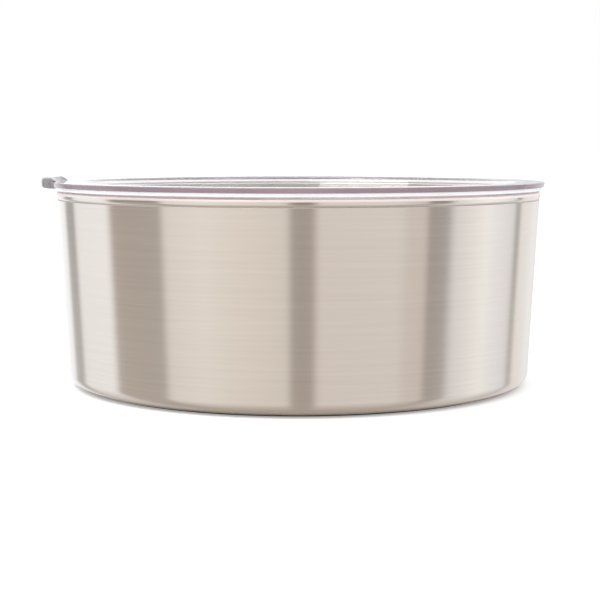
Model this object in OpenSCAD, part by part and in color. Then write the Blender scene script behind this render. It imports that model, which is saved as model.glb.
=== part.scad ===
// No-spill water bowl for a dog: a deep-drawn steel bowl with a rolled rim and a rubber foot ring,
// closed by a clear lid whose funnel dish ends in one deep drinking hole. A soft ring on the lid's
// plug seals the water space, so a tipped bowl keeps its water round the outside of the funnel.
// Millimetres, +Z up, origin on the bowl's axis at the surface that it stands on.

/* [Steel bowl] */
// Height of the rolled rim's top above the table
rim_z = 84.8; // [65:0.1:130]
// Outer radius of the rolled rim
rim_out_r = 106.1; // [85:0.1:140]
// Height of the rolled rim, from the crease under it to its top
rim_h = 3.7; // [2.5:0.1:8]
// Height of the slope under the rolled rim, from the crease to its upright face
rim_under_h = 0.9; // [0.5:0.1:1.5]
// Rounding from that slope into the upright face
rim_under_r = 1.5; // [0.5:0.1:2]
// Rounding over the rolled rim's top
rim_round = 1.1; // [0.4:0.1:2]
// Rounding of the rolled rim's inner edge
rim_in_round = 0.3; // [0.1:0.05:0.6]
// How far the rolled rim stands out past the body at the crease
rim_proud = 0.3; // [0.1:0.05:1]
// Depth of the crease in the body's side
crease_depth = 0.4; // [0.1:0.05:0.6]
// Lean of the body's side from upright, in degrees
side_lean = 3.1; // [0:0.1:8]
// Outside radius of the bottom corner
corner_r = 5.4; // [3:0.1:12]
// Thickness of the drawn sheet
sheet = 0.8; // [0.5:0.1:1.4]
// Rise of the stiffened centre panel in the base
panel_rise = 1.4; // [0.8:0.1:3]

/* [Foot ring] */
// How far the rubber ring stands below the steel
foot_proud = 0.8; // [0.4:0.1:3]
// Distance from the flat base's edge to the ring's outer edge
foot_inset = 1.8; // [0.5:0.1:6]
// Width of the ring's flange on the flat base
foot_flange_w = 9; // [6:0.5:15]
// Width of the ring's collar inside the centre panel's step
foot_collar_w = 5; // [3:0.5:10]
// Number of grip grooves under the ring
groove_count = 3; // [1:1:5]
// Width of a grip groove
groove_w = 1.2; // [0.6:0.1:2]
// Depth of a grip groove
groove_depth = 0.3; // [0.1:0.05:0.4]
// Gap between the collar and the panel's step
collar_clear = 0.2; // [0.1:0.05:0.5]

/* [Lid] */
// Thickness of the moulded lid
lid_wall = 2.1; // [1.5:0.1:3.5]
// Gap between the rolled rim and the lid's skirt, which stands on it
seat_gap = 0.2; // [0.1:0.05:0.5]
// Height of the skirt under the lip
skirt_h = 1.7; // [1:0.1:5]
// How far the skirt stands out past the rolled rim
skirt_overhang = 0.8; // [0.3:0.05:3]
// Rounding of the skirt's lower edges
skirt_round = 0.35; // [0.1:0.05:0.8]
// How far the lip's top edge stands out past the skirt
lip_overhang = 1.3; // [0.9:0.1:4]
// Draft of the lip's edge over its thickness
lip_draft = 0.7; // [0.1:0.05:0.8]
// Rounding of the lip's top edge
lip_round = 0.5; // [0.2:0.1:0.8]
// Depth of the plug below the lip
plug_depth = 10.5; // [8:0.5:20]
// Gap between the plug's flanges and the steel
plug_clear = 1.0; // [0.6:0.1:2]
// Height of each of the plug's two flanges
flange_h = 1.2; // [0.8:0.1:2]
// Distance from the lip's underside to the upper flange
flange_drop = 3.2; // [2:0.1:5]
// Thickness of the plug's wall behind the seal
plug_wall = 1.6; // [1:0.1:3]

/* [Drinking dish] */
// Diameter of the drinking hole
hole_d = 54; // [35:1:80]
// Height of the hole's rounded edge above the bowl's floor
hole_lift = 14; // [8:1:30]
// Radius of the hole's rounded edge in section
hole_edge_r = 1.6; // [1.2:0.1:2.5]
// Radius of the dish's hollow slope in section
dish_curve_r = 150; // [110:5:400]
// Distance from the plug to the top of the dish
dish_inset = 5; // [4:0.5:12]
// Rounding where the rim turns down into the dish
shoulder_r = 4; // [3.6:0.1:8]

/* [Lift tab] */
// How far the tab stands out past the lip
tab_reach = 5.7; // [2:0.1:12]
// Radius of the tab's rounded end, seen from above
tab_end_r = 22; // [16:0.5:40]
// Height of the tab above the lid's top
tab_rise = 1.8; // [0.5:0.1:3]
// Depth of the tab below the lip
tab_drop = 1; // [0.3:0.1:2]
// Rounding of the tab's outer edge
tab_round = 1.4; // [0.5:0.1:1.5]
// Distance from the lip's top edge to the foot of the tab's inner ramp
tab_ramp_inset = 1.8; // [1:0.1:4]

/* [Lid seal] */
// Depth of the seal's groove in the plug
seal_depth = 1.4; // [1:0.1:2]
// Gap between the seal and its groove
seal_fit = 0.05; // [0.02:0.01:0.1]
// Number of wiper fins
fin_count = 2; // [1:1:3]
// Thickness of a fin
fin_t = 0.7; // [0.5:0.05:0.9]
// Height that a fin climbs from its root to its tip
fin_climb = 0.9; // [0.3:0.1:1.5]
// Gap between a fin's tip and the steel
fin_gap = 0.25; // [0.1:0.05:0.5]

/* [Hidden] */
$fn = 180;

// Heights of the bowl
steel_z = foot_proud;
panel_z = steel_z + panel_rise;
floor_z = panel_z + sheet;
body_top_z = rim_z - rim_h;
rim_upright_z = body_top_z + rim_under_h;
fold_z = body_top_z - rim_under_h;

// Radii of the bowl: the sheet is as thick across its leaning side as it is in its base
body_top_r = rim_out_r - rim_proud;
crease_r = body_top_r - crease_depth;
sheet_across = sheet / cos(side_lean);
body_in_r = body_top_r - sheet_across;
fold_r = body_in_r - rim_under_h * tan(side_lean);
body_base_r = body_top_r - (body_top_z - steel_z) * tan(side_lean);
inner_base_r = body_base_r + sheet * tan(side_lean) - sheet_across;
corner_run = corner_r / tan((90 + side_lean) / 2);
flat_base_r = body_base_r - corner_run;

// Rolled rim: two sheets thick; its top rounding stays within that and above the slope's rounding
rim_in_r = rim_out_r - 2 * sheet;
under_run = rim_under_r * tan(atan2(rim_out_r - crease_r, rim_under_h) / 2);
rim_top_round = min(rim_round, 2 * sheet - rim_in_round, rim_h - rim_under_h - under_run);

// Foot ring: its collar stands inside the step of the centre panel, which slopes at 45 degrees
foot_out_r = flat_base_r - foot_inset;
step_r = foot_out_r - foot_flange_w;
foot_in_r = step_r - panel_rise - foot_collar_w;
step_shift = sheet * tan(45 / 2);

// Lid: heights from the rolled rim, radii from the bowl's inner side
skirt_z = rim_z + seat_gap;
lip_z = skirt_z + skirt_h;
lid_z = lip_z + lid_wall;
skirt_out_r = rim_out_r + skirt_overhang;
skirt_in_r = skirt_out_r - lid_wall;
lip_top_r = skirt_out_r + lip_overhang;
lip_low_r = lip_top_r - lip_draft;
plug_z = lip_z - plug_depth;
flange_r = bowl_inner_r(plug_z) - plug_clear;
groove_r = flange_r - seal_depth;
plug_in_r = groove_r - plug_wall;
seal_low_z = plug_z + flange_h;
seal_top_z = lip_z - flange_drop - flange_h;

// Dish: an arc from the hole's rounded edge to the top, with a round shoulder into the flat rim
hole_edge = [hole_d / 2 + hole_edge_r, floor_z + hole_lift + hole_edge_r];
dish_top = [plug_in_r - dish_inset, lid_z];
dish_chord = dish_top - hole_edge;
dish_slope = atan2(dish_chord.y, dish_chord.x);
dish_rise = sqrt(pow(dish_curve_r, 2) - pow(norm(dish_chord) / 2, 2));
dish_centre = (dish_top + hole_edge) / 2 + dish_rise * [-sin(dish_slope), cos(dish_slope)];
dish_in_r = dish_curve_r - lid_wall / 2;
shoulder_z = lid_z - shoulder_r;
shoulder_reach = sqrt(pow(dish_in_r + shoulder_r, 2) - pow(shoulder_z - dish_centre.y, 2));
shoulder = [dish_centre.x + shoulder_reach, shoulder_z];
shoulder_way = (shoulder - dish_centre) / norm(shoulder - dish_centre);
hole_way = (hole_edge - dish_centre) / norm(hole_edge - dish_centre);

// Lift tab on the lid's -X side
tab_out_r = lip_top_r + tab_reach;
tab_centre_x = tab_end_r - tab_out_r;
tab_low_z = lip_z - tab_drop;
tab_top_z = lid_z + tab_rise;
tab_ramp_r = lip_top_r - tab_ramp_inset;
tab_root_r = skirt_out_r - lid_wall / 2;

// How far a cut runs past the face that it opens
cut_spare = 1;

// Colours
steel_colour = [0.80, 0.77, 0.73];
rubber_colour = [0.12, 0.12, 0.12];
lid_colour = [0.78, 0.74, 0.77, 0.45];
seal_colour = [0.90, 0.88, 0.87];

// Inner radius that a piece of the lid can have at a height, so that it still passes the rolled rim
function bowl_inner_r(z) = min(rim_in_r, body_in_r - (body_top_z - z) * tan(side_lean));

// Where the rounding of one corner touches the side that runs towards a neighbour
function corner_touch(corner, towards, radius, half_angle) =
    corner + (towards - corner) / norm(towards - corner) * radius / tan(half_angle);

// A closed outline, anticlockwise, whose outward corners are rounded by true arcs: [x, y, radius]
module rounded_outline(corners) {
    count = len(corners);
    points = [for (c = corners) [c.x, c.y]];
    difference() {
        polygon(points);
        for (i = [0 : count - 1])
            if (corners[i].z > 0)
                corner_cut(
                    points[i],
                    points[(i + count - 1) % count],
                    points[(i + 1) % count],
                    corners[i].z
                );
    }
}

// The sliver between a sharp corner and its rounding
module corner_cut(corner, before, after, radius) {
    a = (before - corner) / norm(before - corner);
    b = (after - corner) / norm(after - corner);
    half_angle = acos(a * b) / 2;
    middle = (a + b) / norm(a + b);
    difference() {
        polygon([
            corner - radius * middle,
            corner_touch(corner, before, radius, half_angle),
            corner_touch(corner, after, radius, half_angle)
        ]);
        translate(corner + middle * radius / sin(half_angle)) circle(radius);
    }
}

// One face of the drawn sheet, filled in to the axis: base panel, corner, leaning side, then the rim
module bowl_face(base_z, step_at, base_r, round_r, rim_corners) {
    rounded_outline(concat(
        [
            [0, base_z + panel_rise, 0],
            [step_at - panel_rise, base_z + panel_rise, 0],
            [step_at, base_z, 0],
            [base_r, base_z, round_r]
        ],
        rim_corners,
        [[0, rim_z, 0]]
    ));
}

// Drawn bowl: the sheet is drawn in at the crease, and its edge is rolled over outwards on itself
module bowl_shell() {
    color(steel_colour)
    rotate_extrude()
    difference() {
        bowl_face(steel_z, step_r, body_base_r, corner_r, [
            [body_top_r, body_top_z, 0],
            [crease_r, body_top_z, 0],
            [rim_out_r, rim_upright_z, rim_under_r],
            [rim_out_r, rim_z, rim_top_round]
        ]);
        bowl_face(steel_z + sheet, step_r - step_shift, inner_base_r, corner_r - sheet, [
            [fold_r, fold_z, 0],
            [rim_in_r, body_top_z, 0],
            [rim_in_r, rim_z, 0]
        ]);
        corner_cut([rim_in_r, rim_z], [rim_in_r, body_top_z], [rim_out_r, rim_z], rim_in_round);
    }
}

module foot_ring() {
    groove_pitch = (foot_out_r - foot_in_r) / (groove_count + 1);
    color(rubber_colour)
    rotate_extrude()
    difference() {
        polygon([
            [foot_in_r, 0],
            [foot_out_r, 0],
            [foot_out_r, steel_z],
            [step_r - collar_clear, steel_z],
            [step_r - panel_rise - collar_clear, panel_z],
            [foot_in_r, panel_z]
        ]);
        for (i = [1 : groove_count])
            translate([foot_in_r + i * groove_pitch - groove_w / 2, -groove_depth])
                square([groove_w, 2 * groove_depth]);
    }
}

// Flat rim with a drafted, rounded edge, and the skirt under it that stands on the rolled rim
module lid_rim() {
    rounded_outline([
        [shoulder.x, lip_z, 0],
        [lip_low_r, lip_z, 0],
        [lip_top_r, lid_z, lip_round],
        [shoulder.x, lid_z, 0]
    ]);
    rounded_outline([
        [skirt_in_r, skirt_z, skirt_round],
        [skirt_out_r, skirt_z, skirt_round],
        [skirt_out_r, lip_z + lid_wall / 2, 0],
        [skirt_in_r, lip_z + lid_wall / 2, 0]
    ]);
}

// Everything below one face of the dish and the rim: the hollow slope, the round shoulder, the flat
module below_face(inset) {
    far = 2 * dish_curve_r;
    difference() {
        polygon([
            [shoulder.x + 2 * shoulder_r, lid_z - inset],
            [shoulder.x, lid_z - inset],
            shoulder,
            dish_centre,
            dish_centre + far * hole_way,
            [shoulder.x + 2 * shoulder_r, (dish_centre + far * hole_way).y]
        ]);
        translate(dish_centre) circle(dish_in_r + inset, $fn = 720);
    }
    translate(shoulder) circle(shoulder_r - inset);
}

// Funnel dish of even thickness, with a rounded edge at the drinking hole
module lid_dish() {
    intersection() {
        difference() {
            below_face(0);
            below_face(lid_wall);
        }
        square([shoulder.x + lid_wall, 2 * lid_z]);
    }
    translate(hole_edge) circle(hole_edge_r);
}

// Plug under the rim, with a flange above and below the seal's groove
module lid_plug() {
    translate([plug_in_r, plug_z]) square([plug_wall, lip_z - plug_z + lid_wall / 2]);
    for (z = [plug_z, seal_top_z])
        translate([plug_in_r + plug_wall / 2, z])
            square([flange_r - plug_in_r - plug_wall / 2, flange_h]);
}

// Thumb tab: a thick rounded lobe that grows out of the skirt and the lip, and ramps down to the lid's top
module lid_tab() {
    difference() {
        translate([tab_centre_x, 0, 0])
            rotate_extrude()
            rounded_outline([
                [0, tab_low_z, 0],
                [tab_end_r, tab_low_z, tab_round],
                [tab_end_r, tab_top_z, tab_round],
                [0, tab_top_z, 0]
            ]);
        rotate_extrude()
        polygon([
            [0, tab_low_z - cut_spare],
            [tab_root_r, tab_low_z - cut_spare],
            [tab_root_r, lid_z - lid_wall / 3],
            [tab_ramp_r, lid_z - lid_wall / 3],
            [tab_ramp_r, lid_z],
            [tab_ramp_r + tab_rise + cut_spare, tab_top_z + cut_spare],
            [0, tab_top_z + cut_spare]
        ]);
    }
}

module lid() {
    color(lid_colour)
    union() {
        rotate_extrude() {
            lid_rim();
            lid_dish();
            lid_plug();
        }
        lid_tab();
    }
}

// Soft ring in the plug's groove, with fins that climb towards the steel
module lid_seal() {
    seal_in_r = groove_r + seal_fit;
    seal_h = seal_top_z - seal_low_z - 2 * seal_fit;
    fin_pitch = (seal_h - fin_climb) / fin_count;
    color(seal_colour)
    rotate_extrude() {
        translate([seal_in_r, seal_low_z + seal_fit]) square([flange_r - seal_in_r, seal_h]);
        for (i = [0 : fin_count - 1]) {
            root_z = seal_low_z + seal_fit + (i + 0.5) * fin_pitch;
            tip = [bowl_inner_r(root_z + fin_climb) - fin_gap - fin_t / 2, root_z + fin_climb];
            polygon([
                [flange_r - fin_t, root_z - fin_t / 2],
                [tip.x, tip.y - fin_t / 2],
                [tip.x, tip.y + fin_t / 2],
                [flange_r - fin_t, root_z + fin_t / 2]
            ]);
            translate(tip) circle(fin_t / 2);
        }
    }
}

bowl_shell();
foot_ring();
lid();
lid_seal();
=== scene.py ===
import math

import bmesh
import bpy
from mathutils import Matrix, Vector


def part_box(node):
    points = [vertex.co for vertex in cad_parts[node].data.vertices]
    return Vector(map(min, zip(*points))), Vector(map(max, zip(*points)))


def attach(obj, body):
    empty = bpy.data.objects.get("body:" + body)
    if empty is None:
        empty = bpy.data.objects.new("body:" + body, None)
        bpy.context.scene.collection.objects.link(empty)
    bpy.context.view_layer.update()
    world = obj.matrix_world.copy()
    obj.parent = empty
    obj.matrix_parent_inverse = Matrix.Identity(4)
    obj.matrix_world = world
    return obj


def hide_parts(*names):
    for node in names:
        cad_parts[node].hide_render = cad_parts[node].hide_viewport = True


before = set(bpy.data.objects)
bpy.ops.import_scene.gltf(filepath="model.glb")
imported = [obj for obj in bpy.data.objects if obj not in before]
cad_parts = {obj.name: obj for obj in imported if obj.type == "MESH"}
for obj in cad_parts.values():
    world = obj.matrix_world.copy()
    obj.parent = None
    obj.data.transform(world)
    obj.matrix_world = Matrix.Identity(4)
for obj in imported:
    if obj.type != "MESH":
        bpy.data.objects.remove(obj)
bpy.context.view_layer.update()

# Looks of a no-spill dog bowl: brushed steel bowl, clear lid with a funnel dish, soft seal, rubber foot.
# Metres in the part's own frame: +Z up, origin on the bowl's axis at the floor, the camera looks along +Y.

MM = 0.001

# Flat steps in one turn of a lathe-turned piece, and in the arc of a rounded corner
TURN_STEPS = 384
CORNER_STEPS = 6

# Points closer than this become one after a boolean
WELD = 0.001 * MM

# An outline point nearer to the axis than this lies on it
ON_AXIS = 0.0001 * MM

# Shading is smooth across edges that turn less than this
EDGE_ANGLE = math.radians(35)

# The CAD pieces that the meshes below stand for
bowl_low, bowl_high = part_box("bowl_shell")
foot_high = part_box("foot_ring")[1]
lid_low, lid_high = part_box("lid")
seal_low, seal_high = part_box("lid_seal")

# Steel bowl
SHEET = 0.8 * MM
RIM_H = 3.7 * MM
RIM_UNDER_H = 0.9 * MM
RIM_UNDER_R = 1.5 * MM
RIM_ROUND = 1.1 * MM
RIM_IN_ROUND = 0.3 * MM
RIM_PROUD = 0.3 * MM
RIM_STEPS = 12
CREASE_DEPTH = 0.4 * MM
CREASE_ROUND = 0.05 * MM
SIDE_LEAN = math.radians(3.1)
CORNER_R = 5.4 * MM
CORNER_TURN_STEPS = 16
PANEL_RISE = 1.4 * MM

# The rim is dull this far up from the crease, and painted near white, a painted highlight, this far down
# from its top
CREASE_FINISH_H = 0.45 * MM
BUFFED_H = 1.45 * MM

rim_z = bowl_high.z
rim_out_r = bowl_high.x
steel_z = bowl_low.z
panel_z = steel_z + PANEL_RISE
rim_in_r = rim_out_r - 2 * SHEET
body_top_z = rim_z - RIM_H
rim_upright_z = body_top_z + RIM_UNDER_H
body_top_r = rim_out_r - RIM_PROUD
crease_r = body_top_r - CREASE_DEPTH
body_in_r = body_top_r - SHEET / math.cos(SIDE_LEAN)
fold_r = body_in_r - RIM_UNDER_H * math.tan(SIDE_LEAN)
fold_z = body_top_z - RIM_UNDER_H
body_base_r = body_top_r - (body_top_z - steel_z) * math.tan(SIDE_LEAN)
flat_base_r = body_base_r - CORNER_R / math.tan((math.pi / 2 + SIDE_LEAN) / 2)

# Foot ring
FOOT_FLANGE_W = 9.0 * MM
FOOT_COLLAR_W = 5.0 * MM
COLLAR_CLEAR = 0.2 * MM
GROOVE_COUNT = 3
GROOVE_W = 1.2 * MM
GROOVE_DEPTH = 0.3 * MM
GROOVE_EDGE_ROUND = 0.1 * MM
GROOVE_ROOT_ROUND = 0.08 * MM
FOOT_ROUND = 0.25 * MM

foot_out_r = foot_high.x
step_r = foot_out_r - FOOT_FLANGE_W
foot_in_r = step_r - PANEL_RISE - FOOT_COLLAR_W

# Lid
LID_WALL = 2.1 * MM
SEAT_GAP = 0.2 * MM
SKIRT_H = 1.7 * MM
SKIRT_OVERHANG = 0.8 * MM
SKIRT_ROUND = 0.35 * MM
LIP_OVERHANG = 1.3 * MM
LIP_DRAFT = 0.7 * MM
LIP_ROUND = 0.5 * MM
LIP_EDGE_ROUND = 0.1 * MM
LIP_ROOT_ROUND = 0.2 * MM
MOULD_ROUND = 0.25 * MM
PLUG_DEPTH = 10.5 * MM
PLUG_WALL = 1.6 * MM
PLUG_CLEAR = 1.0 * MM
FLANGE_H = 1.2 * MM
FLANGE_DROP = 3.2 * MM
SEAL_DEPTH = 1.4 * MM
HOLE_R = 27.0 * MM
HOLE_EDGE_R = 1.6 * MM
DISH_CURVE_R = 150.0 * MM
DISH_INSET = 5.0 * MM
SHOULDER_R = 4.0 * MM
DISH_STEPS = 48
SHOULDER_STEPS = 16
HOLE_EDGE_STEPS = 20

# A face within this of the lip's or skirt's radius belongs to it
LIP_SPARE = 0.05 * MM

skirt_z = rim_z + SEAT_GAP
lip_z = skirt_z + SKIRT_H
lid_z = lip_z + LID_WALL
skirt_out_r = rim_out_r + SKIRT_OVERHANG
skirt_in_r = skirt_out_r - LID_WALL
lip_top_r = skirt_out_r + LIP_OVERHANG
plug_z = lip_z - PLUG_DEPTH
flange_r = min(rim_in_r, body_in_r - (body_top_z - plug_z) * math.tan(SIDE_LEAN)) - PLUG_CLEAR
groove_r = flange_r - SEAL_DEPTH
plug_in_r = groove_r - PLUG_WALL
upper_flange_z = lip_z - FLANGE_DROP - FLANGE_H
hole_edge = Vector((HOLE_R + HOLE_EDGE_R, lid_low.z + HOLE_EDGE_R))

# Lift tab
TAB_END_R = 22.0 * MM
TAB_DROP = 1.0 * MM
TAB_ROUND = 1.4 * MM
TAB_RAMP_INSET = 1.8 * MM
TAB_STEPS = 192

# The tab's root sinks this far into the lid's flat rim, and its cutter reaches this far past the tab
TAB_SINK = 0.7 * MM
TAB_CUT_SPARE = 1.0 * MM

tab_x = lid_low.x + TAB_END_R
tab_low_z = lip_z - TAB_DROP
tab_top_z = lid_high.z
tab_root_r = skirt_out_r - LID_WALL / 2
tab_ramp_r = lip_top_r - TAB_RAMP_INSET

# Seal
SEAL_FIT = 0.05 * MM
FIN_COUNT = 2
FIN_T = 0.7 * MM
FIN_CLIMB = 0.9 * MM
FIN_GAP = 0.25 * MM
FIN_TIP_STEPS = 8

# Camera, solved from the rim and base ellipses; lens and sensor are in millimetres
CAMERA_AWAY = 0.6729
CAMERA_UP = 0.1052
CAMERA_RIGHT = 0.00067
CAMERA_NEAR = 0.01
CAMERA_TILT = math.radians(5.9)
CAMERA_LENS = 90.7
CAMERA_SENSOR = 36.0

WHITE = "#ffffff"
BLACK = "#000000"


def linear(hex_colour):
    """An sRGB hex colour as the linear RGBA that a shader takes."""
    channels = [int(hex_colour[i:i + 2], 16) / 255 for i in (1, 3, 5)]
    return [c / 12.92 if c <= 0.04045 else ((c + 0.055) / 1.055) ** 2.4 for c in channels] + [1.0]


def add_node(tree, kind, inputs=None, **settings):
    """Adds one node: settings are its own properties, inputs its values or the sockets that feed it."""
    node = tree.nodes.new(kind)
    for name, value in settings.items():
        setattr(node, name, value)
    for socket, value in (inputs or {}).items():
        if isinstance(value, bpy.types.NodeSocket):
            tree.links.new(value, node.inputs[socket])
        else:
            node.inputs[socket].default_value = value
    return node


def new_material(name):
    """An empty node material and its output node."""
    material = bpy.data.materials.new(name)
    material.use_nodes = True
    material.node_tree.nodes.clear()
    output = add_node(material.node_tree, "ShaderNodeOutputMaterial")
    return material, material.node_tree, output


def arc(centre, radius, start, end, steps):
    """Outline points on an arc, from one angle to another in radians; 0 points away from the axis."""
    angles = [start + (end - start) * i / steps for i in range(steps + 1)]
    return [(centre[0] + radius * math.cos(a), centre[1] + radius * math.sin(a)) for a in angles]


def rounded(corners, steps):
    """Outline points from corners (r, z, rounding), each corner turned into an arc of its rounding."""
    points = []
    for i, (r, z, rounding) in enumerate(corners):
        corner = Vector((r, z))
        before = (Vector(corners[i - 1][:2]) - corner).normalized()
        after = (Vector(corners[(i + 1) % len(corners)][:2]) - corner).normalized()
        if rounding == 0:
            points.append((r, z))
            continue
        half = before.angle(after) / 2
        centre = corner + (before + after).normalized() * rounding / math.sin(half)
        first = corner + before * rounding / math.tan(half) - centre
        turn = first.angle_signed(corner + after * rounding / math.tan(half) - centre)
        start = math.atan2(first.y, first.x)
        points += arc(centre, rounding, start, start - turn, steps)
    return points


def rounded_open(corners, first, last, steps=CORNER_STEPS):
    """Rounded corners of an open run, between the points that come before and after it."""
    points = rounded([(*first, 0)] + corners + [(*last, 0)], steps)
    return points[1:-1]


def turned_mesh(name, outline, steps=TURN_STEPS, centre_x=0.0):
    """Turns an outline of (r, z) points about an upright axis. Points on the axis become one vertex."""
    mesh = bmesh.new()
    rings = []
    for r, z in outline:
        if r < ON_AXIS:
            rings.append([mesh.verts.new((centre_x, 0, z))] * steps)
            continue
        turns = [2 * math.pi * (s + 0.5) / steps for s in range(steps)]
        rings.append([mesh.verts.new((centre_x + r * math.cos(a), r * math.sin(a), z)) for a in turns])
    pairs = list(zip(rings, rings[1:] + rings[:1]))
    if outline[0][0] < ON_AXIS and outline[-1][0] < ON_AXIS:
        pairs.pop()
    for lower, upper in pairs:
        for s in range(steps):
            t = (s + 1) % steps
            corners = [lower[s], lower[t], upper[t], upper[s]]
            mesh.faces.new(list(dict.fromkeys(corners)))
    bmesh.ops.recalc_face_normals(mesh, faces=mesh.faces)
    data = bpy.data.meshes.new(name)
    mesh.to_mesh(data)
    mesh.free()
    return data


def smooth_to_edges(data):
    """Smooth shading that stops at sharp edges."""
    for polygon in data.polygons:
        polygon.use_smooth = True
    data.set_sharp_from_angle(angle=EDGE_ANGLE)


def add_piece(name, data, materials, node, body):
    """A finished mesh as a piece that stands for a CAD node and rides on its body."""
    smooth_to_edges(data)
    piece = bpy.data.objects.new(name, data)
    bpy.context.scene.collection.objects.link(piece)
    for material in materials:
        data.materials.append(material)
    shading = piece.modifiers.new("flat_faces_stay_flat", "WEIGHTED_NORMAL")
    shading.keep_sharp = True
    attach(piece, body)
    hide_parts(node)


# Outlines of the pieces

def bowl_outline():
    """The drawn sheet from the base's centre out and up to the rolled rim, then down its inner side."""
    corner_centre = (flat_base_r, steel_z + CORNER_R)
    side_angle = -SIDE_LEAN
    # The panel's step slopes at 45 degrees, so the sheet's inner corners lie this far in from its outer ones
    step_shift = SHEET * math.tan(math.pi / 8)
    outside = [(0, panel_z)]
    outside += [(step_r - PANEL_RISE, panel_z), (step_r, steel_z)]
    outside += arc(corner_centre, CORNER_R, -math.pi / 2, side_angle, CORNER_TURN_STEPS)
    rim = rounded_open([
        (body_top_r, body_top_z, CREASE_ROUND),
        (crease_r, body_top_z, CREASE_ROUND),
        (rim_out_r, rim_upright_z, RIM_UNDER_R),
        # The rim's top, painted near white as a painted highlight, starts here
        (rim_out_r, rim_z - BUFFED_H, 0),
        (rim_out_r, rim_z, RIM_ROUND),
        (rim_in_r, rim_z, RIM_IN_ROUND),
    ], outside[-1], (rim_in_r, body_top_z), RIM_STEPS)
    inside = [(rim_in_r, body_top_z), (fold_r, fold_z)]
    inside += arc(corner_centre, CORNER_R - SHEET, side_angle, -math.pi / 2, CORNER_TURN_STEPS)
    inside += [(step_r - step_shift, steel_z + SHEET)]
    inside += [(step_r - step_shift - PANEL_RISE, panel_z + SHEET), (0, panel_z + SHEET)]
    return outside + rim + inside


def foot_outline():
    """Rubber ring with a collar inside the base's step and round grip grooves underneath."""
    pitch = (foot_out_r - foot_in_r) / (GROOVE_COUNT + 1)
    corners = [(foot_in_r, 0, FOOT_ROUND)]
    for i in range(1, GROOVE_COUNT + 1):
        middle = foot_in_r + i * pitch
        corners += [
            (middle - GROOVE_W / 2, 0, GROOVE_EDGE_ROUND),
            (middle - GROOVE_W / 2 + GROOVE_DEPTH / 2, GROOVE_DEPTH, GROOVE_ROOT_ROUND),
            (middle + GROOVE_W / 2 - GROOVE_DEPTH / 2, GROOVE_DEPTH, GROOVE_ROOT_ROUND),
            (middle + GROOVE_W / 2, 0, GROOVE_EDGE_ROUND),
        ]
    corners += [
        (foot_out_r, 0, FOOT_ROUND),
        (foot_out_r, steel_z, 0),
        (step_r - COLLAR_CLEAR, steel_z, 0),
        (step_r - PANEL_RISE - COLLAR_CLEAR, panel_z, 0),
        (foot_in_r, panel_z, FOOT_ROUND),
    ]
    return rounded(corners, CORNER_STEPS)


def lid_outline():
    """The moulding in section: dish, shoulder, flat rim, drafted lip, skirt, and plug with its groove."""
    dish_top = Vector((plug_in_r - DISH_INSET, lid_z))
    chord = dish_top - hole_edge
    across = Vector((-chord.y, chord.x)).normalized()
    rise = math.sqrt(DISH_CURVE_R ** 2 - (chord.length / 2) ** 2)
    dish_centre = (dish_top + hole_edge) / 2 + across * rise
    dish_in_r = DISH_CURVE_R - LID_WALL / 2
    shoulder_z = lid_z - SHOULDER_R
    reach = math.sqrt((dish_in_r + SHOULDER_R) ** 2 - (shoulder_z - dish_centre.y) ** 2)
    shoulder = Vector((dish_centre.x + reach, shoulder_z))
    shoulder_angle = math.atan2(shoulder.y - dish_centre.y, shoulder.x - dish_centre.x)

    # The dish's wall runs into the round edge of the hole a little way from that edge's centre
    down_slope = (hole_edge - dish_centre).normalized()
    up_slope = Vector((-down_slope.y, down_slope.x))
    along = math.sqrt(HOLE_EDGE_R ** 2 - (LID_WALL / 2) ** 2)
    upper_join = hole_edge - down_slope * LID_WALL / 2 + up_slope * along
    lower_join = hole_edge + down_slope * LID_WALL / 2 + up_slope * along
    edge_start = math.atan2(lower_join.y - hole_edge.y, lower_join.x - hole_edge.x)
    edge_end = math.atan2(upper_join.y - hole_edge.y, upper_join.x - hole_edge.x) - 2 * math.pi
    upper_start = math.atan2(upper_join.y - dish_centre.y, upper_join.x - dish_centre.x)
    lower_end = math.atan2(lower_join.y - dish_centre.y, lower_join.x - dish_centre.x)

    points = arc(hole_edge, HOLE_EDGE_R, edge_start, edge_end, HOLE_EDGE_STEPS)
    points += arc(dish_centre, dish_in_r, upper_start, shoulder_angle, DISH_STEPS)[1:]
    points += arc(shoulder, SHOULDER_R, shoulder_angle + math.pi, math.pi / 2, SHOULDER_STEPS)[1:]
    last = (shoulder.x, lid_z - LID_WALL)
    points += rounded_open([
        (lip_top_r, lid_z, LIP_ROUND),
        (lip_top_r - LIP_DRAFT, lip_z, LIP_EDGE_ROUND),
        (skirt_out_r, lip_z, LIP_ROOT_ROUND),
        (skirt_out_r, skirt_z, SKIRT_ROUND),
        (skirt_in_r, skirt_z, SKIRT_ROUND),
        (skirt_in_r, lip_z, MOULD_ROUND),
        (groove_r, lip_z, MOULD_ROUND),
        (groove_r, lip_z - FLANGE_DROP, MOULD_ROUND),
        (flange_r, lip_z - FLANGE_DROP, MOULD_ROUND),
        (flange_r, upper_flange_z, MOULD_ROUND),
        (groove_r, upper_flange_z, 0),
        (groove_r, plug_z + FLANGE_H, 0),
        (flange_r, plug_z + FLANGE_H, MOULD_ROUND),
        (flange_r, plug_z, MOULD_ROUND),
        (plug_in_r, plug_z, MOULD_ROUND),
        (plug_in_r, lip_z, MOULD_ROUND),
    ], points[-1], last)
    inner_turn = SHOULDER_R - LID_WALL
    points += arc(shoulder, inner_turn, math.pi / 2, shoulder_angle + math.pi, SHOULDER_STEPS)
    points += arc(dish_centre, dish_in_r + LID_WALL, shoulder_angle, lower_end, DISH_STEPS)[1:-1]
    return points


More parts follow.
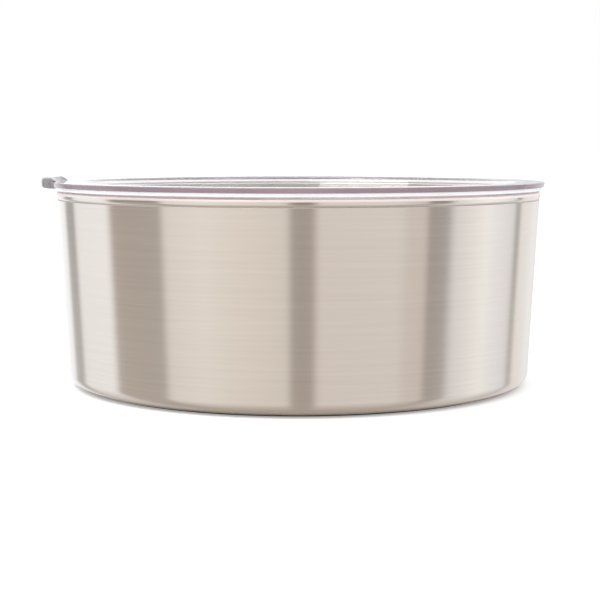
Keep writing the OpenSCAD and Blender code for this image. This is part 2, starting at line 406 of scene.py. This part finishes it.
def seal_outline():
    """Soft ring that fills the plug's groove, with round-tipped fins that climb towards the steel."""
    inner_r = groove_r + SEAL_FIT
    low = seal_low.z
    high = seal_high.z
    pitch = (high - low - FIN_CLIMB) / FIN_COUNT
    points = [(inner_r, low), (flange_r, low)]
    for i in range(FIN_COUNT):
        root = low + (i + 0.5) * pitch
        tip_z = root + FIN_CLIMB
        wall_r = min(rim_in_r, body_in_r - (body_top_z - tip_z) * math.tan(SIDE_LEAN))
        tip_r = wall_r - FIN_GAP - FIN_T / 2
        points += [(flange_r, root - FIN_T / 2)]
        points += arc((tip_r, tip_z), FIN_T / 2, -math.pi / 2, math.pi / 2, FIN_TIP_STEPS)
        points += [(flange_r, root + FIN_T / 2)]
    return points + [(flange_r, high), (inner_r, high)]


# Materials

# Most of a noise's values lie between these
NOISE_LOW = 0.3
NOISE_HIGH = 0.7


def hairlines(tree, across_mm, along_mm):
    """Fine streaks that run round the bowl: noise stretched along the turn and fine up the side."""
    place = add_node(tree, "ShaderNodeTexCoord")
    stretch = add_node(
        tree, "ShaderNodeMapping",
        {"Vector": place.outputs["Object"],
         "Scale": (1 / (along_mm * MM), 1 / (along_mm * MM), 1 / (across_mm * MM))},
    )
    return add_node(
        tree, "ShaderNodeTexNoise",
        {"Vector": stretch.outputs["Vector"], "Scale": 1.0, "Detail": 3.0, "Roughness": 0.6},
    ).outputs["Fac"]


def brushed_stainless_steel():
    """Stainless sheet brushed on a lathe: lines run round the bowl, so reflections smear up and down."""
    material, tree, output = new_material("brushed_stainless_steel")
    # Real brush lines are about 0.1 mm wide; these are drawn as coarse as they need to be to show
    streaks = hairlines(tree, across_mm=0.9, along_mm=60)
    bump = add_node(tree, "ShaderNodeBump", {"Height": streaks, "Strength": 0.06, "Distance": 0.02 * MM})
    roughness = add_node(
        tree, "ShaderNodeMapRange",
        {"Value": streaks, "From Min": NOISE_LOW, "From Max": NOISE_HIGH, "To Min": 0.17, "To Max": 0.20},
    )
    tone = add_node(
        tree, "ShaderNodeMix",
        {"Factor": streaks, "A": linear("#d8cec3"), "B": linear("#e2d9ce")}, data_type="RGBA",
    )
    round_the_bowl = add_node(tree, "ShaderNodeTangent", direction_type="RADIAL", axis="Z")
    metal = add_node(
        tree, "ShaderNodeBsdfPrincipled",
        {"Base Color": tone.outputs["Result"], "Metallic": 1.0, "Roughness": roughness.outputs["Result"],
         "Anisotropic": 1.0, "Anisotropic Rotation": 0.25,
         "Tangent": round_the_bowl.outputs["Tangent"], "Normal": bump.outputs["Normal"]},
    )
    tree.links.new(metal.outputs["BSDF"], output.inputs["Surface"])
    return material


def rolled_steel(name, colour, smoothest, roughest):
    """The same sheet where it was rolled or pressed, or painted near white on the rim's top: fine lines
    round the bowl vary its gloss.
    """
    material, tree, output = new_material(name)
    streaks = hairlines(tree, across_mm=0.5, along_mm=40)
    roughness = add_node(
        tree, "ShaderNodeMapRange",
        {"Value": streaks, "From Min": NOISE_LOW, "From Max": NOISE_HIGH,
         "To Min": smoothest, "To Max": roughest},
    )
    metal = add_node(
        tree, "ShaderNodeBsdfPrincipled",
        {"Base Color": linear(colour), "Metallic": 1.0, "Roughness": roughness.outputs["Result"]},
    )
    tree.links.new(metal.outputs["BSDF"], output.inputs["Surface"])
    return material


def bright_rim_steel():
    """The rolled rim's outer face, left bright by the rolls: a soft mirror."""
    return rolled_steel("bright_rim_steel", "#e0d8ce", 0.10, 0.16)


def buffed_rim_steel():
    """The rolled rim's top: rough steel that spreads the white ceiling into one bright line, its colour
    lifted near white as a painted highlight.
    """
    return rolled_steel("buffed_rim_steel", "#fff6f0", 0.42, 0.50)


def crease_steel():
    """The crease under the rim, where the brush and buff don't reach: dull and grey."""
    return rolled_steel("crease_steel", "#ddd6d2", 0.45, 0.55)


def drawn_inside_steel():
    """The bowl's inside, left as drawn and pickled clean: greyer and duller than the brushed outside."""
    return rolled_steel("drawn_inside_steel", "#e0dcd8", 0.30, 0.38)


def add_plastic_depth(tree, output):
    """The faint mauve that clear styrene-acrylonitrile takes on where the eye looks a long way into it."""
    tint = add_node(tree, "ShaderNodeVolumeAbsorption", {"Color": linear("#b080a0"), "Density": 6.0})
    tree.links.new(tint.outputs["Volume"], output.inputs["Volume"])


def clear_plastic():
    """Styrene-acrylonitrile polished in the mould: glass-clear through its wall, with sharp reflections."""
    material, tree, output = new_material("clear_san_plastic")
    plastic = add_node(
        tree, "ShaderNodeBsdfPrincipled",
        {"Base Color": linear(WHITE), "Roughness": 0.02, "IOR": 1.57, "Transmission Weight": 1.0},
    )
    tree.links.new(plastic.outputs["BSDF"], output.inputs["Surface"])
    add_plastic_depth(tree, output)
    return material


def moulded_skin(tree, grain_mm, darker, paler, relief, relief_mm, detail, harshness=0.5):
    """The grain of a moulded skin, as a tone between two colours and as a bumped normal.

    A real mould's grain is under 0.1 mm; it is drawn as coarse as it needs to be to show.
    """
    place = add_node(tree, "ShaderNodeTexCoord")
    grain = add_node(
        tree, "ShaderNodeTexNoise",
        {"Vector": place.outputs["Object"], "Scale": 1 / (grain_mm * MM),
         "Detail": detail, "Roughness": harshness},
    ).outputs["Fac"]
    tone = add_node(
        tree, "ShaderNodeMix",
        {"Factor": grain, "A": linear(darker), "B": linear(paler)}, data_type="RGBA",
    )
    bump = add_node(
        tree, "ShaderNodeBump", {"Height": grain, "Strength": relief, "Distance": relief_mm * MM},
    )
    return tone.outputs["Result"], bump.outputs["Normal"]


def satin_plastic(name, darker, paler, clearness):
    """The same plastic where the mould is satin: its edge scatters light, and its diffuse colour is painted
    shade or painted light for the tint or white that the clear edge shows.
    """
    material, tree, output = new_material(name)
    tone, normal = moulded_skin(tree, 0.8, darker, paler, relief=0.05, relief_mm=0.03, detail=3.0)
    plastic = add_node(
        tree, "ShaderNodeBsdfPrincipled",
        {"Base Color": tone, "Roughness": 0.12, "IOR": 1.57, "Transmission Weight": clearness,
         "Normal": normal},
    )
    tree.links.new(plastic.outputs["BSDF"], output.inputs["Surface"])
    add_plastic_depth(tree, output)
    return material


def soft_silicone():
    """Translucent white silicone, moulded with a fine matt skin."""
    material, tree, output = new_material("soft_silicone")
    tone, normal = moulded_skin(tree, 0.6, "#f0eeec", "#f7f5f4", relief=0.15, relief_mm=0.05, detail=4.0)
    silicone = add_node(
        tree, "ShaderNodeBsdfPrincipled",
        {"Base Color": tone, "Roughness": 0.45, "IOR": 1.41,
         "Subsurface Weight": 0.3, "Subsurface Radius": (1.0, 0.9, 0.85), "Subsurface Scale": 1.0 * MM,
         "Normal": normal},
    )
    tree.links.new(silicone.outputs["BSDF"], output.inputs["Surface"])
    return material


def black_rubber():
    """Carbon-black rubber moulded matt, a little dusty grey on its high grain."""
    material, tree, output = new_material("black_rubber")
    tone, normal = moulded_skin(
        tree, 0.5, "#2b2a2a", "#3a3939", relief=0.3, relief_mm=0.06, detail=5.0, harshness=0.65,
    )
    rubber = add_node(
        tree, "ShaderNodeBsdfPrincipled",
        {"Base Color": tone, "Roughness": 0.75, "IOR": 1.52, "Normal": normal},
    )
    tree.links.new(rubber.outputs["BSDF"], output.inputs["Surface"])
    return material


# Pieces

# How far a face has to look: in to be the bowl's inside, up to be its floor, up to be the lid's flat rim,
# and in to be left out of the lip
INSIDE_LOOKS_IN = -0.1
FLOOR_LOOKS_UP = 0.5
FLAT_LOOKS_UP = 0.9
LIP_LOOKS_IN = -0.5


def outwards(polygon):
    """How far a face looks away from the axis: 1 straight out, -1 straight in."""
    return polygon.normal.xy.dot(polygon.center.xy.normalized())


def make_bowl():
    """Steel bowl: brushed outside, dull in the crease, bright on the rolled rim with a painted highlight on
    its top, and dull grey inside.
    """
    data = turned_mesh("steel_bowl", bowl_outline())
    finishes = [
        brushed_stainless_steel(),
        crease_steel(),
        bright_rim_steel(),
        buffed_rim_steel(),
        drawn_inside_steel(),
    ]
    crease, bright_rim, buffed_rim, inside = range(1, len(finishes))
    add_piece("steel_bowl", data, finishes, "bowl_shell", "bowl")
    for polygon in data.polygons:
        z = polygon.center.z
        # The rim's top takes steel painted near white: a painted highlight
        if z > rim_z - BUFFED_H:
            polygon.material_index = buffed_rim
        elif outwards(polygon) < INSIDE_LOOKS_IN or (polygon.normal.z > FLOOR_LOOKS_UP and z < fold_z):
            polygon.material_index = inside
        elif z > body_top_z + CREASE_FINISH_H:
            polygon.material_index = bright_rim
        elif z > body_top_z - CREASE_ROUND / 2:
            polygon.material_index = crease


def make_foot():
    """Rubber foot ring."""
    data = turned_mesh("rubber_foot", foot_outline())
    add_piece("rubber_foot", data, [black_rubber()], "foot_ring", "bowl")


def boolean_mesh(name, first, second, operation):
    """The result of one boolean between two closed meshes, as a new mesh."""
    whole = bpy.data.objects.new(name, first)
    tool = bpy.data.objects.new(name + "_tool", second)
    for item in (whole, tool):
        bpy.context.scene.collection.objects.link(item)
    cut = whole.modifiers.new("cut", "BOOLEAN")
    cut.operation = operation
    cut.object = tool
    cut.solver = "EXACT"
    depsgraph = bpy.context.evaluated_depsgraph_get()
    result = bpy.data.meshes.new_from_object(whole.evaluated_get(depsgraph))
    bpy.data.objects.remove(whole)
    bpy.data.objects.remove(tool)
    mesh = bmesh.new()
    mesh.from_mesh(result)
    bmesh.ops.remove_doubles(mesh, verts=mesh.verts, dist=WELD)
    mesh.to_mesh(result)
    mesh.free()
    return result


def tab_mesh():
    """Lift tab: a thick round lobe that grows out of skirt and lip, and ramps down to the lid's top."""
    lobe = turned_mesh("tab_lobe", [(0, tab_low_z)] + rounded_open([
        (TAB_END_R, tab_low_z, TAB_ROUND),
        (TAB_END_R, tab_top_z, TAB_ROUND),
    ], (0, tab_low_z), (0, tab_top_z)) + [(0, tab_top_z)], TAB_STEPS, tab_x)
    below = tab_low_z - TAB_CUT_SPARE
    above = tab_top_z + TAB_CUT_SPARE
    cutter = turned_mesh("tab_cutter", [
        (0, below),
        (tab_root_r, below),
        (tab_root_r, lid_z - TAB_SINK),
        (tab_ramp_r, lid_z - TAB_SINK),
        (tab_ramp_r, lid_z),
        (tab_ramp_r + above - lid_z, above),
        (0, above),
    ])
    return boolean_mesh("tab", lobe, cutter, "DIFFERENCE")


def make_lid():
    """Lid and lift tab as one moulding: clear, with satin lip, skirt and tab; the lip, skirt edge and tab
    carry painted shade, the skirt painted light.
    """
    data = boolean_mesh("clear_lid", turned_mesh("lid_turned", lid_outline()), tab_mesh(), "UNION")
    data.name = "clear_lid"
    finishes = [
        clear_plastic(),
        # Lip: mauve grey, partly the plastic's own tint and partly painted shade for the dark look into its
        # thick clear edge
        satin_plastic("satin_san_lip_painted_shade", "#c6b1b8", "#cfbbc1", 0.6),
        # Skirt edge: pale mauve, partly the plastic's own tint and partly painted shade for the thin line
        # along the skirt's lower edge
        satin_plastic("satin_san_skirt_edge_painted_shade", "#ddced5", "#e4d7dd", 0.6),
        # Skirt: near-opaque white, painted light for the bright backdrop seen through the clear skirt
        satin_plastic("satin_san_skirt_painted_light", "#fdfcfd", WHITE, 0.08),
        # Tab: grey, painted shade for the light lost inside its thick clear body
        satin_plastic("satin_san_tab_painted_shade", "#9c979b", "#b5b0b3", 0.6),
    ]
    lip, skirt_edge, skirt, tab = range(1, len(finishes))
    add_piece("clear_lid", data, finishes, "lid", "lid")
    for polygon in data.polygons:
        z = polygon.center.z
        away = polygon.center.xy.length
        if away > lip_top_r + LIP_SPARE:
            polygon.material_index = tab
        elif (away > lip_top_r - LIP_DRAFT - LIP_SPARE
              and polygon.normal.z < FLAT_LOOKS_UP and outwards(polygon) > LIP_LOOKS_IN):
            polygon.material_index = lip
        elif skirt_z + SKIRT_ROUND < z < lip_z and abs(away - skirt_out_r) < LIP_SPARE:
            polygon.material_index = skirt
        elif away > skirt_in_r and z < skirt_z + SKIRT_ROUND:
            polygon.material_index = skirt_edge


def make_seal():
    """Silicone seal in the plug's groove."""
    data = turned_mesh("silicone_seal", seal_outline())
    add_piece("silicone_seal", data, [soft_silicone()], "lid_seal", "lid")


# Stage

# The studio as the steel sees it: each panel from one bearing to another, with its colour at either end.
# Bearings are in degrees round the bowl, from the camera's side towards +X.
STUDIO_PANELS = [
    (-180, -146, "#f1f4f9", "#edf0f4"),
    (-141, -131.8, "#b6b6b8", "#b4b4b7"),
    (-128.4, -100.8, "#ecf0f6", "#f3f8ff"),
    (-96, -67.1, "#b4adaa", "#b2afac"),
    (-64.1, -45, "#e0dfdf", "#e7e7e8"),
    (-30, -5.8, "#e1dfdd", "#d9d7d5"),
    (-2.3, 5.9, "#a8a3a0", "#a8a3a0"),
    (9.7, 47, "#dad7d8", "#dad9d9"),
    (53, 60.5, "#d0cccc", "#d0cccc"),
    (62.9, 72.4, "#a8a3a2", "#abaaab"),
    (78, 99, "#dddfe6", "#f6fbff"),
    (103, 120.5, "#eff4fc", "#e0e4eb"),
    (123.5, 127, "#b6b6b7", "#b6b6b7"),
    (129.8, 152, "#e5e5e7", "#e4e6e9"),
    (160, 172, "#d7d8db", "#d0d1d3"),
    (175, 180, "#f7f5f4", "#f7f5f4"),
]
STUDIO_STRENGTH = 1.3

# A dim panel is darkest in a narrow band near the horizon, where the upright rim mirrors it
DIM_FULL = 0.42
DIM_NONE = 0.58
BAND_AT = math.radians(-2.2)
BAND_FULL = math.radians(2.5)
BAND_NONE = math.radians(5)
BAND_DEPTH = 0.3

# Above the panels the studio turns to a white ceiling, and below them slowly to a dim ground
CEILING_FROM = math.radians(14)
CEILING_FULL = math.radians(28)
GROUND_FROM = math.radians(-8)
GROUND_FULL = math.radians(-72)
GROUND_COLOUR = "#aaa39d"


def seen_by_eye(tree):
    """1 for rays from the camera and for rays that have come through the clear lid, else 0."""
    ray = add_node(tree, "ShaderNodeLightPath")
    return add_node(
        tree, "ShaderNodeMath",
        {0: ray.outputs["Is Camera Ray"], 1: ray.outputs["Is Transmission Ray"]}, operation="MAXIMUM",
    ).outputs[0]


def panel_colour(tree, way):
    """The studio panels' colour in the direction that a ray goes."""
    towards = add_node(tree, "ShaderNodeMath", {0: way.outputs["Y"], 1: -1.0}, operation="MULTIPLY")
    bearing = add_node(
        tree, "ShaderNodeMath", {0: way.outputs["X"], 1: towards.outputs[0]}, operation="ARCTAN2",
    )
    share = add_node(
        tree, "ShaderNodeMapRange",
        {"Value": bearing.outputs[0], "From Min": -math.pi, "From Max": math.pi},
    )
    panels = add_node(tree, "ShaderNodeValToRGB", {"Fac": share.outputs["Result"]})
    stops = panels.color_ramp.elements
    ends = []
    for first, last, first_colour, last_colour in STUDIO_PANELS:
        ends += [(first, first_colour), (last, last_colour)]
    for degrees, colour in ends[1:-1]:
        stops.new((degrees + 180) / 360).color = linear(colour)
    stops[0].color = linear(ends[0][1])
    stops[-1].color = linear(ends[-1][1])
    return panels.outputs["Color"]


def darken_dim_band(tree, colour, height):
    """The panels' colour with the dim ones darkened in a narrow band near the horizon."""
    light = add_node(tree, "ShaderNodeRGBToBW", {"Color": colour})
    dim = add_node(
        tree, "ShaderNodeMapRange",
        {"Value": light.outputs["Val"], "From Min": DIM_NONE, "From Max": DIM_FULL, "To Max": BAND_DEPTH},
    )
    away = add_node(tree, "ShaderNodeMath", {0: height, 1: BAND_AT}, operation="SUBTRACT")
    off_band = add_node(tree, "ShaderNodeMath", {0: away.outputs[0]}, operation="ABSOLUTE")
    band = add_node(
        tree, "ShaderNodeMapRange",
        {"Value": off_band.outputs[0], "From Min": BAND_NONE, "From Max": BAND_FULL},
        interpolation_type="SMOOTHSTEP",
    )
    shade = add_node(
        tree, "ShaderNodeMath", {0: dim.outputs["Result"], 1: band.outputs["Result"]}, operation="MULTIPLY",
    )
    return add_node(
        tree, "ShaderNodeMixRGB", {"Fac": shade.outputs[0], "Color1": colour, "Color2": linear(BLACK)},
    ).outputs["Color"]


def studio_world():
    """White to the eye and through the clear lid; to the steel, a studio of bright and dim panels."""
    world = bpy.data.worlds.new("studio")
    bpy.context.scene.world = world
    world.use_nodes = True
    tree = world.node_tree
    tree.nodes.clear()
    place = add_node(tree, "ShaderNodeTexCoord")
    way = add_node(tree, "ShaderNodeSeparateXYZ", {"Vector": place.outputs["Generated"]})
    height = add_node(tree, "ShaderNodeMath", {0: way.outputs["Z"]}, operation="ARCSINE").outputs[0]
    panels = darken_dim_band(tree, panel_colour(tree, way), height)
    ceiling = add_node(
        tree, "ShaderNodeMapRange",
        {"Value": height, "From Min": CEILING_FROM, "From Max": CEILING_FULL},
        interpolation_type="SMOOTHSTEP",
    )
    ground = add_node(
        tree, "ShaderNodeMapRange",
        {"Value": height, "From Min": GROUND_FROM, "From Max": GROUND_FULL},
    )
    upper = add_node(
        tree, "ShaderNodeMixRGB",
        {"Fac": ceiling.outputs["Result"], "Color1": panels, "Color2": linear(WHITE)},
    )
    room = add_node(
        tree, "ShaderNodeMixRGB",
        {"Fac": ground.outputs["Result"], "Color1": upper.outputs["Color"],
         "Color2": linear(GROUND_COLOUR)},
    )
    studio = add_node(
        tree, "ShaderNodeBackground", {"Color": room.outputs["Color"], "Strength": STUDIO_STRENGTH},
    )
    backdrop = add_node(tree, "ShaderNodeBackground", {"Color": linear(WHITE), "Strength": 1.0})
    choice = add_node(
        tree, "ShaderNodeMixShader",
        {0: seen_by_eye(tree), 1: studio.outputs["Background"], 2: backdrop.outputs["Background"]},
    )
    output = add_node(tree, "ShaderNodeOutputWorld")
    tree.links.new(choice.outputs["Shader"], output.inputs["Surface"])


SOFTBOX_SIZE = (0.9, 0.6)
SOFTBOX_AT = Vector((-0.5, -0.35, 1.1))
SOFTBOX_WATTS = 5.0

FLOOR_R = 20.0
NEAR_FLOOR_R = 0.0995
FLOOR_STEPS = 128
FLOOR_ALBEDO = "#e6e6e6"
FLOOR_LIFT = 0.3

LIGHT_BOUNCES = 40
MIRROR_BOUNCES = 32


def ring_of_points(mesh, radius):
    """Points round a circle on the floor."""
    turns = [2 * math.pi * s / FLOOR_STEPS for s in range(FLOOR_STEPS)]
    return [mesh.verts.new((radius * math.cos(a), radius * math.sin(a), 0)) for a in turns]


def studio_floor():
    """A wide white floor that keeps the bowl's shadow and is lifted to white for the eye.

    The steel mirrors only the shaded floor close round its foot; further out it mirrors the panels.
    """
    material, tree, output = new_material("white_studio_floor")
    paint = add_node(tree, "ShaderNodeBsdfDiffuse", {"Color": linear(FLOOR_ALBEDO)})
    lift = add_node(tree, "ShaderNodeMath", {0: seen_by_eye(tree), 1: FLOOR_LIFT}, operation="MULTIPLY")
    glow = add_node(tree, "ShaderNodeEmission", {"Color": linear(WHITE), "Strength": lift.outputs[0]})
    both = add_node(tree, "ShaderNodeAddShader", {0: paint.outputs["BSDF"], 1: glow.outputs["Emission"]})
    tree.links.new(both.outputs["Shader"], output.inputs["Surface"])

    near = bmesh.new()
    near.faces.new(ring_of_points(near, NEAR_FLOOR_R))
    far = bmesh.new()
    inner = ring_of_points(far, NEAR_FLOOR_R)
    outer = ring_of_points(far, FLOOR_R)
    for s in range(FLOOR_STEPS):
        t = (s + 1) % FLOOR_STEPS
        far.faces.new([inner[s], outer[s], outer[t], inner[t]])
    for name, mesh in (("near_floor", near), ("far_floor", far)):
        data = bpy.data.meshes.new(name)
        mesh.to_mesh(data)
        mesh.free()
        data.materials.append(material)
        floor = bpy.data.objects.new(name, data)
        bpy.context.scene.collection.objects.link(floor)
        floor.visible_glossy = name == "near_floor"


def softbox():
    """One wide lamp high on the left, which draws bright patches on the clear lid and along the rim."""
    lamp = bpy.data.lights.new("softbox", "AREA")
    lamp.shape = "RECTANGLE"
    lamp.size = SOFTBOX_SIZE[0]
    lamp.size_y = SOFTBOX_SIZE[1]
    lamp.energy = SOFTBOX_WATTS
    box = bpy.data.objects.new("softbox", lamp)
    box.location = SOFTBOX_AT
    box.rotation_euler = (-box.location).to_track_quat("-Z", "Y").to_euler()
    box.visible_camera = False
    bpy.context.scene.collection.objects.link(box)


def photo_camera():
    """The photograph's viewing angle: a long lens, level with the lid and tilted a little down."""
    lens = bpy.data.cameras.new("photo_camera")
    lens.lens = CAMERA_LENS
    lens.sensor_width = CAMERA_SENSOR
    lens.clip_start = CAMERA_NEAR
    camera = bpy.data.objects.new("photo_camera", lens)
    camera.location = (CAMERA_RIGHT, -CAMERA_AWAY, CAMERA_UP)
    camera.rotation_euler = (math.pi / 2 - CAMERA_TILT, 0, 0)
    bpy.context.scene.collection.objects.link(camera)
    bpy.context.scene.camera = camera


make_bowl()
make_foot()
make_lid()
make_seal()
studio_world()
studio_floor()
softbox()
photo_camera()
scene = bpy.context.scene
scene.view_settings.view_transform = "Standard"

# Light runs a long way inside the clear lid's edge before it comes out
scene.cycles.max_bounces = LIGHT_BOUNCES
scene.cycles.glossy_bounces = MIRROR_BOUNCES
scene.cycles.transmission_bounces = LIGHT_BOUNCES
